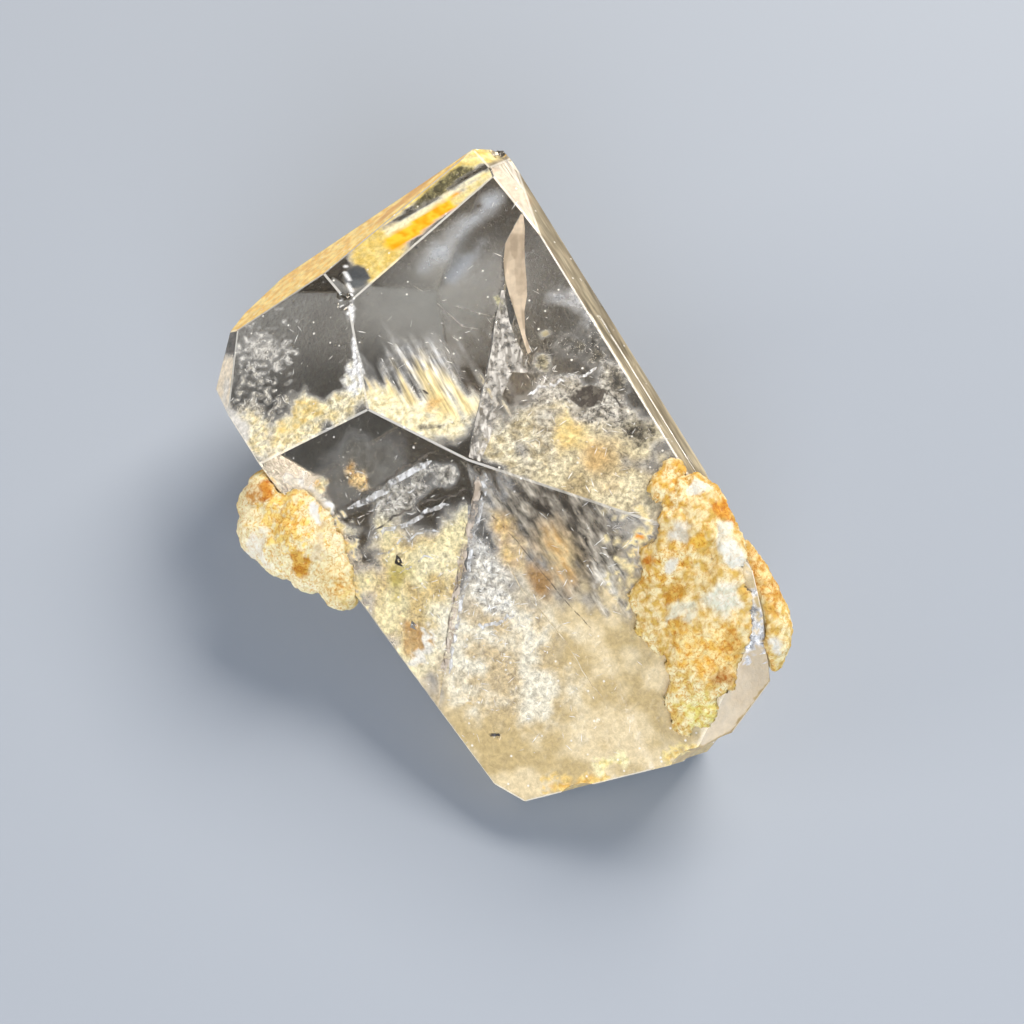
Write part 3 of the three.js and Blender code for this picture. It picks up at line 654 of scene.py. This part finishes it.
def fractureMaterial(name, colour, second, least, most, roughness, crumple):
    made, tree = newMaterial("healed_fracture_" + name)
    # A thin gap of air that heals in patches: silvery where it is open, a reflection painted into its colours, and
    # gone where it has closed.
    spot = placeInMm(tree)
    clouds = addNode(tree, "TexNoise", {"Scale": 1.6, "Detail": 3.0}, {"Vector": spot})
    # Its crumples are drawn out along the seam, which runs across the top face at this angle.
    drawnOut = addNode(tree, "Mapping", {"vector_type": "TEXTURE", "Rotation": (0, 0, math.radians(-24)),
                                         "Scale": (0.7, 2.4, 1)}, {"Vector": spot})
    cells = addNode(tree, "TexVoronoi", {"feature": "SMOOTH_F1", "Scale": crumple, "Smoothness": 0.45},
                    {"Vector": drawnOut})
    share = addNode(tree, "MapRange", {"From Min": 0.4, "From Max": 0.56, "To Min": least, "To Max": most},
                    {"Value": clouds})
    tint = addNode(tree, "Mix", {"data_type": "RGBA", 6: hexColour(colour), 7: hexColour(second)},
                   {0: cells.outputs["Color"]})
    shader = addNode(tree, "BsdfPrincipled", {"Roughness": roughness},
                     {"Base Color": tint.outputs[2], "Alpha": share})
    addNode(tree, "OutputMaterial", links={"Surface": shader})
    return made


fractureFit = {
    "ribbonLift": 0.03, "sheetLift": 0.05,  # mm over the crystal's face, to meet the light there
    "tip": 0.2,  # width at a ribbon's ends, as a share of its width
    "foldSize": 1.3,  # mm
}
fractureMaterials = {name: fractureMaterial(name, *look) for name, look in fractureLooks.items()}


def drawLine(points):  # a chain of edges through these points, in the mesh being edited
    bpy.ops.mesh.select_all(action="DESELECT")
    bpy.ops.mesh.primitive_plane_add(size=0.1 * mm, location=Vector(points[0]) * mm)
    bpy.ops.mesh.merge(type="CENTER")
    for start, end in zip(points, points[1:]):
        bpy.ops.mesh.extrude_region_move(TRANSFORM_OT_translate={"value": (Vector(end) - Vector(start)) * mm})


def jagged(points, reach):  # breaks a line up as a crack runs
    run = [Vector(p) for p in points]
    broken = [run[0]]
    for start, end in zip(run, run[1:]):
        for share in (0.25, 0.5, 0.75):
            slip = Vector([random.uniform(-reach, reach) for axis in range(3)])
            broken.append(start.lerp(end, share) + slip)
        broken.append(end)
    return broken


def laidOnCrystal(points, width):  # the two edges of a ribbon that lies on the crystal's faces
    edges = [], []
    for i, point in enumerate(points):
        hit, place, normal, number = crystal.closest_point_on_mesh(point * mm)
        ahead = points[min(i + 1, len(points) - 1)] - points[max(i - 1, 0)]
        taper = 1 if 0 < i < len(points) - 1 else fractureFit["tip"]
        side = normal.cross(ahead).normalized() * width * taper / 2
        for edge, way in zip(edges, (-1, 1)):
            edge.append(place / mm + normal * fractureFit["ribbonLift"] + side * way)
    return edges


def layOnFace(piece, faceName):  # moves a sheet square on to one crystal face
    number = faceNames.index(faceName)
    around = crystal.data.attributes["facet"].data
    widest = max((f for f in crystal.data.polygons if around[f.index].value == number), key=lambda f: f.area)
    for vertex in piece.data.vertices:
        below = (widest.center - vertex.co).dot(widest.normal)
        vertex.co += widest.normal * (below + fractureFit["sheetLift"] * mm)


def fractureSheet(name, plan):
    bpy.ops.object.select_all(action="DESELECT")
    bpy.ops.mesh.primitive_plane_add(size=1 * mm)
    piece = bpy.context.object
    piece.name = name
    enter("EDIT")
    bpy.ops.mesh.select_mode(type="VERT")
    bpy.ops.mesh.delete(type="VERT")
    if "width" in plan:
        near, far = laidOnCrystal(jagged(plan["line"], plan["jag"]), plan["width"])
    else:
        near, far = plan["line"], plan.get("far") or [Vector(p) + Vector(plan["into"]) for p in plan["line"]]
    drawLine(near)
    drawLine(far)
    bpy.ops.mesh.select_all(action="SELECT")
    bpy.ops.mesh.bridge_edge_loops()
    bpy.ops.mesh.select_all(action="SELECT")
    bpy.ops.mesh.subdivide(number_cuts=1 if "width" in plan else 4)
    bpy.ops.mesh.normals_make_consistent(inside=False)
    enter("OBJECT")
    if "face" in plan:
        layOnFace(piece, plan["face"])
    if plan.get("wave"):
        folds = bpy.data.textures.new(name, "CLOUDS")
        folds.noise_scale = fractureFit["foldSize"] * mm
        folds.noise_depth = 2
        applyModifier(piece, "DISPLACE", {"texture": folds, "texture_coords": "GLOBAL",
                                          "strength": plan["wave"] * mm, "mid_level": 0.5})
        bpy.ops.object.shade_smooth()
    seat(piece, fractureMaterials[plan["look"]])


for name, plan in fractures.items():
    fractureSheet(name, plan)
print("fractures:", len(fractures))

# short bright strokes where tiny veils and chips catch the light
strokeLook = {
    "length": 0.6, "width": 0.055, "lift": 0.025,  # mm
    "bends": (0.0, 0.22, -0.35), "hook": 0.3, "belly": 1.15,
    "spread": 0.55,  # of an area's reach
    "leastUp": 0.3,  # only faces that look up carry them
    "sway": 55,  # degrees
    "lengths": (0.3, 1.3), "shortness": 1.6, "widths": (0.5, 1.4),  # as shares of the cut
}
strokeAreas = [  # centre, reach and number, with the way they run as degrees round the face
    ((-3, -9, 12), (7, 8, 6), 190, 20), ((0, -16, 9), (8, 7, 6), 70, 50), ((-7, 1, 14), (5, 4, 4), 70, 60),
    ((8, -1, 21), (7, 6, 3), 90, 40), ((3, 8, 20.5), (6, 4, 3), 40, -50), ((-10, 14, 16), (4, 6, 4), 60, 0),
    ((11, 10, 23), (3, 6, 3), 16, 40), ((8, -11, 18), (4, 5, 4), 70, 30), ((-1, 13, 21), (5, 4, 3), 10, 70),
]


def strokeCut(bend):  # one sliver, tapered and bent
    bpy.ops.object.select_all(action="DESELECT")
    bpy.ops.mesh.primitive_plane_add(size=1 * mm)
    cut = bpy.context.object
    enter("EDIT")
    bpy.ops.transform.resize(value=(strokeLook["length"], strokeLook["width"], 1))
    bpy.ops.mesh.subdivide(number_cuts=2)
    enter("OBJECT")
    for vertex in cut.data.vertices:
        along = vertex.co.x / mm / strokeLook["length"]
        bow = bend * along * (abs(along) + strokeLook["hook"]) * strokeLook["length"] * mm
        vertex.co.y = vertex.co.y * (strokeLook["belly"] - 2 * abs(along)) + bow
    return cut


cuts = [strokeCut(bend) for bend in strokeLook["bends"]]
strokes = []
for centre, reach, number, way in strokeAreas:
    for turn in range(number):
        inside = Vector([c + r * random.gauss(0, strokeLook["spread"]) for c, r in zip(centre, reach)])
        hit, place, normal, face = crystal.closest_point_on_mesh(inside * mm)
        if normal.z < strokeLook["leastUp"]:
            continue
        copied = random.choice(cuts).copy()
        copied.data = copied.data.copy()
        bpy.context.collection.objects.link(copied)
        copied.location = place + normal * strokeLook["lift"] * mm
        swing = Euler((0, 0, math.radians(random.gauss(way, strokeLook["sway"])))).to_matrix()
        copied.rotation_euler = (normal.to_track_quat("Z", "Y").to_matrix() @ swing).to_euler()
        copied.scale = (random.uniform(*strokeLook["lengths"]) ** strokeLook["shortness"],
                        random.uniform(*strokeLook["widths"]), 1)
        strokes.append(copied)
bpy.ops.object.select_all(action="DESELECT")
for copied in strokes:
    copied.select_set(True)
bpy.context.view_layer.objects.active = strokes[0]
bpy.ops.object.join()
glints = bpy.context.object
glints.name = "veil_glints"
bpy.ops.object.transform_apply(location=True, rotation=True, scale=True)
for cut in cuts:
    bpy.data.objects.remove(cut)
seat(glints, fractureMaterials["chalk_and_glint"])
print("glints:", len(strokes))

# the matrix
matrixLook = {
    "voxel": 0.16,  # mm
    "swell": 0.2,  # mm, closes the seat between the matrix and the crystal
    "lumps": 0.55, "lumpHeight": 0.26,  # mm
    "grains": 0.16, "grainHeight": 0.14,  # mm
    "gritHeight": 0.22,  # mm, only in how light falls on it
    "deep": "#d9a648",  # iron oxide in its hollows
}
matrixPatches = [
    blot((0, 0, 15), (60, 60, 60), "#e0c06a", "#f7ecbc", ragged=0),
    blot((12, -16, 18.5), (8, 12, 8), "#d2ac52", "#f0deaa", ragged=0.1, cover=0.6),
    blot((-12.5, 1.5, 10.5), (9, 9, 8), "#e6cf86", "#fbf3d0", ragged=0.1, soft=0.4, cover=0.7),
    # front crust, from its top end down
    blot((13.6, -11.4, 21), (2.8, 2.8, 3), "#e0b450", "#f8ecbe", soft=0.5),
    blot((15, -14, 21), (0.9, 1.6, 1.4), "#cc8a26", "#e0a842", soft=0.4),
    blot((14.3, -11.9, 21.4), (1.2, 0.7, 1), "#f0ecdc", cover=0.4),
    blot((12, -14, 20.4), (1.8, 1.1, 1.4), "#cfc5ae", "#ebe2ce", soft=0.5, cover=0.35),
    blot((14.5, -16.4, 20.5), (1, 2.6, 1.6), "#e6e4d2", "#f8f4e4", ragged=0.3, soft=0.4, cover=0.4),
    blot((12.9, -15.2, 20.3), (0.9, 0.6, 1), "#e2aa36", "#efc456"),
    blot((9.6, -15.2, 18.5), (2.2, 1.9, 2), "#dcb14e", "#f7e9b6", soft=0.4),
    blot((8.9, -14.2, 18.6), (0.7, 0.7, 1), "#c98320", "#dda040"),
    blot((10.1, -15.7, 18.5), (0.6, 0.5, 1), "#e6e1d0", ragged=0.3, cover=0.3),
    blot((10.6, -17.3, 17.9), (2, 0.7, 1.2), "#c8902c", "#e2b85a"),
    blot((12.6, -19.3, 18), (2.8, 1.5, 1.6), "#dfddc4", "#f6f0dc", ragged=0.3, soft=0.5, cover=0.4),
    blot((10, -18.8, 16.6), (1.7, 1, 1.4), "#d6cfb2", "#efe8cc", soft=0.5, cover=0.4),
    blot((9, -20, 15.6), (0.9, 1.3, 1.4), "#cd9834", "#e6c46c", soft=0.4),
    blot((10.4, -22, 14.9), (2.8, 2.4, 2.6), "#f0bf58", "#fbe6a4", ragged=0.3, soft=0.5),
    blot((10.6, -23.6, 13.9), (1.4, 0.9, 1.4), "#bd8c48", "#d9b272", soft=0.6),
    blot((12.3, -22.6, 15.6), (0.7, 1.2, 1.4), "#cf9838", "#e2bf70"),
    blot((8.2, -24.8, 11.9), (2, 1.8, 1.8), "#e2d272", "#f6eeb8", soft=0.5, cover=0.9),
    # sliver on the right edge
    blot((16.2, -20.4, 17.8), (1.4, 4.2, 2.4), "#d0a046", "#f0d89c", ragged=0.3, soft=0.5),
    blot((15.2, -24, 15.7), (0.9, 0.7, 1), "#e6e2d4", cover=0.3),
    # knob: pale straw with gold in its hollows
    blot((-14.5, 3.5, 11), (5, 8, 5), "#f0e4b4", "#fbf3d0", ragged=0.1, soft=0.2, cover=0.9),
    blot((-13.4, 4.6, 12.8), (2, 2.6, 2), "#e6b244", "#f6d980", ragged=0.6, soft=0.4, grain="grit"),
    blot((-14, 7.9, 13), (0.9, 1.2, 1.2), "#c98022", "#dca044", soft=0.5),
    blot((-15.2, 8.6, 12.4), (0.8, 1, 1.2), "#d09a4c", "#ead9ae", soft=0.4, cover=0.9),
    blot((-13.8, 1.6, 11.2), (0.9, 0.7, 0.9), "#cc932e", "#e2b654", ragged=0.5, soft=0.5),
    band([(-11.4, 2.9, 13.2), (-12.4, 1, 12.2)], 0.7, "#d9c294", "#e8d8b2", ragged=0.2, soft=0.4, cover=0.4),
    band([(-11.2, 4.4, 13.8), (-11.5, 3, 13.3)], 0.45, "#e9e8e2", ragged=0.2, cover=0.2),
    blot((-12, -1.4, 10.8), (1.3, 2, 1.6), "#d9a944", "#efe0ac", ragged=0.5, soft=0.4, grain="grit"),
    blot((-16.3, 4.6, 10.8), (1, 2.2, 1.6), "#ece6d0", "#f4efdf", ragged=0.5, soft=0.5, cover=0.5),
]

matrixStone, tree = newMaterial("limonite_and_calcite")
# Earthy iron oxide over chalky calcite: matt and gritty where it is ochre, smoother where it is white.
spot = placeInMm(tree)
stain = addNode(tree, "Attribute", {"attribute_name": "stain"})
grit = addNode(tree, "TexNoise", {"Scale": 2.6, "Detail": 4.0, "Roughness": 0.7, "Distortion": 1.5},
               {"Vector": spot})
tone = addNode(tree, "MapRange", {"From Min": 0.36, "From Max": 0.54, "To Min": 0.9, "To Max": 0.0},
               {"Value": grit})
earthy = addNode(tree, "Math", {"operation": "MULTIPLY"}, {0: tone, 1: stain.outputs["Alpha"]})
deep = addNode(tree, "Mix", {"data_type": "RGBA", "blend_type": "MULTIPLY", 7: hexColour(matrixLook["deep"])},
               {0: earthy, 6: stain.outputs["Color"]})
relief = addNode(tree, "Bump", {"Distance": matrixLook["gritHeight"] * mm, "Strength": 0.9}, {"Height": grit})
matt = addNode(tree, "MapRange", {"To Min": 0.45, "To Max": 0.9}, {"Value": stain.outputs["Alpha"]})
shader = addNode(tree, "BsdfPrincipled", {}, {
    "Base Color": deep.outputs[2], "Roughness": matt, "Normal": relief})
addNode(tree, "OutputMaterial", links={"Surface": shader})
for node in ("matrix_knob", "matrix_crust", "edge_crust"):
    piece = mergedCopy(node, node + "_stone")
    applyModifier(piece, "REMESH", {"mode": "VOXEL", "voxel_size": matrixLook["voxel"] * mm})
    for name, height in (("lumps", "lumpHeight"), ("grains", "grainHeight")):
        clods = bpy.data.textures.new(name, "CLOUDS")
        clods.noise_scale = matrixLook[name] * mm
        clods.noise_depth = 1
        applyModifier(piece, "DISPLACE", {"texture": clods, "texture_coords": "GLOBAL",
                                          "strength": matrixLook[height] * mm, "mid_level": 0.5})
    applyModifier(piece, "DISPLACE", {"strength": matrixLook["swell"] * mm, "mid_level": 0.0})
    bpy.ops.object.shade_smooth()
    paintPatches(piece, matrixPatches, matrixLook["deep"])
    seat(piece, matrixStone, node)
    print(piece.name, len(piece.data.polygons), "faces")

# floor, light and camera
studio = {
    "floorColour": "#9aa1ab", "floorSize": 3, "floorDrop": 0.02,  # m, and mm under the part
    "worldColour": "#aab4c2", "worldStrength": 0.45,
    "middle": (0.002, 0.0, 0.01),  # m, where the lamps aim
    "lamps": {  # place and size in m, watts, colour
        "key": ((0.36, 0.16, 0.42), 0.32, 5.0, "#fff6ea"),
        "side": ((-0.5, 0.1, 0.14), 0.2, 1.4, "#fff4e4"),
        "fill": ((-0.17, -0.47, 0.25), 0.4, 3.2, "#e6eefb"),
    },
}
bpy.ops.object.select_all(action="DESELECT")
bpy.ops.mesh.primitive_plane_add(size=studio["floorSize"], location=(0, 0, -studio["floorDrop"] * mm))
floor = bpy.context.object
floor.name = "studio_floor"
bpy.ops.object.transform_apply(location=True)
paper, tree = newMaterial("matt_paper")
shader = addNode(tree, "BsdfPrincipled", {
    "Base Color": hexColour(studio["floorColour"]), "Roughness": 0.9, "Specular IOR Level": 0.2})
addNode(tree, "OutputMaterial", links={"Surface": shader})
floor.data.materials.append(paper)

for name, (place, size, power, colour) in studio["lamps"].items():
    bpy.ops.object.light_add(type="AREA", location=place)
    lamp = bpy.context.object
    lamp.name = name
    lamp.rotation_euler = (Vector(studio["middle"]) - Vector(place)).to_track_quat("-Z", "Y").to_euler()
    lamp.data.size = size
    lamp.data.energy = power
    lamp.data.color = hexColour(colour)[:3]

bpy.context.scene.view_settings.view_transform = "Standard"
world = bpy.data.worlds.new("studio")
bpy.context.scene.world = world
world.use_nodes = True
world.node_tree.nodes["Background"].inputs["Color"].default_value = hexColour(studio["worldColour"])
world.node_tree.nodes["Background"].inputs["Strength"].default_value = studio["worldStrength"]

view = {  # degrees and mm
    "azimuth": -26.4, "elevation": 58.0, "distance": 154.0, "target": (6.77, 4.5, 0.0),
    "focal": 60.0, "sensor": 36.0, "clipStart": 5,
}
azimuth, elevation = math.radians(view["azimuth"]), math.radians(view["elevation"])
back = Vector((math.sin(azimuth) * math.cos(elevation), -math.cos(azimuth) * math.cos(elevation),
               math.sin(elevation)))
target = Vector(view["target"]) * mm
bpy.ops.object.camera_add(location=target + back * view["distance"] * mm,
                          rotation=back.to_track_quat("Z", "Y").to_euler())
camera = bpy.context.object
camera.data.lens = view["focal"]
camera.data.sensor_width = view["sensor"]
camera.data.clip_start = view["clipStart"] * mm
bpy.context.scene.camera = camera
